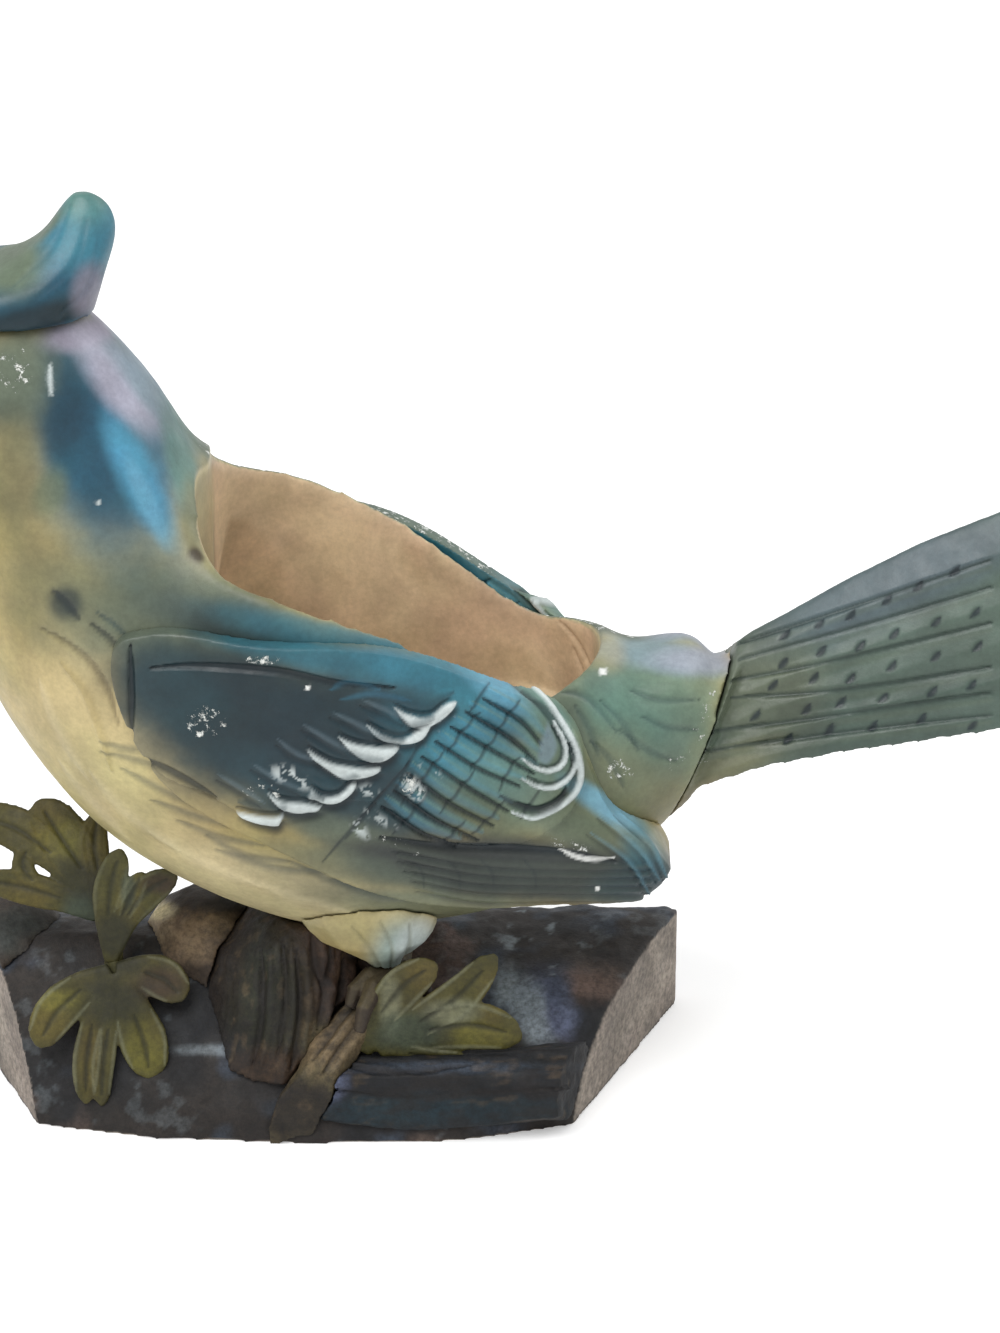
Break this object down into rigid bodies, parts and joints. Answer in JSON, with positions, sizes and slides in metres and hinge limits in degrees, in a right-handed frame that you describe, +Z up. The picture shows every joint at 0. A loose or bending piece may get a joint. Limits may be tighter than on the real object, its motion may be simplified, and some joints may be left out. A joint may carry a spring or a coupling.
{
  "type": "bird planter figurine",
  "caption": "Painted plaster figure of a crested jay on a rocky base, its hollow back open as a small planter.",
  "frame": {"origin": "centre of the rock base's flat underside", "axes": "+X from the beak to the tail, +Y away from the painted front, +Z up"},
  "size_m": [0.319, 0.0912, 0.2319],
  "materials": {
    "painted_plaster_blue": "cast plaster, airbrushed blue over cream, worn satin paint with small white chips",
    "painted_plaster_crest": "cast plaster, airbrushed teal blue, satin",
    "painted_plaster_wing": "cast plaster, dark teal feathers with white edges, satin",
    "painted_plaster_tail": "cast plaster, grey-green with dark bars, satin",
    "painted_plaster_thigh": "cast plaster, cream and pale blue, matt",
    "painted_plaster_beak": "cast plaster, black paint, satin",
    "painted_eye": "cast plaster bead, gloss black paint",
    "painted_plaster_toes": "cast plaster, brown paint, matt",
    "painted_rock": "cast plaster, dark brown and slate paint, dry-brushed, matt",
    "painted_boulder": "cast plaster, tan dry-brushed over brown, matt",
    "painted_wood": "cast plaster, brown and olive bark paint, matt",
    "painted_leaf": "cast plaster, olive green and ochre paint, matt",
    "wire": "drawn steel wire",
    "dowel": "plain round dowel"
  },
  "bodies": {
    "root": {"body_shell": "painted_plaster_blue", "crest": "painted_plaster_crest", "beak_upper": "painted_plaster_beak", "beak_lower": "painted_plaster_beak", "left_eye": "painted_eye", "right_eye": "painted_eye", "left_wing": "painted_plaster_wing", "right_wing": "painted_plaster_wing", "tail": "painted_plaster_tail", "tail_dowel": "dowel", "left_thigh": "painted_plaster_thigh", "right_thigh": "painted_plaster_thigh", "left_foot": "painted_plaster_toes", "right_foot": "painted_plaster_toes", "left_leg_wire": "wire", "right_leg_wire": "wire", "rock_base": "painted_rock", "left_boulder": "painted_boulder", "right_boulder": "painted_boulder", "stump": "painted_wood", "perch_branch": "painted_wood", "fallen_log": "painted_wood", "leaf_stem": "painted_leaf", "upper_leaf": "painted_leaf", "inner_leaf": "painted_leaf", "hanging_leaf": "painted_leaf", "right_leaf": "painted_leaf"}
  },
  "joints": []
}
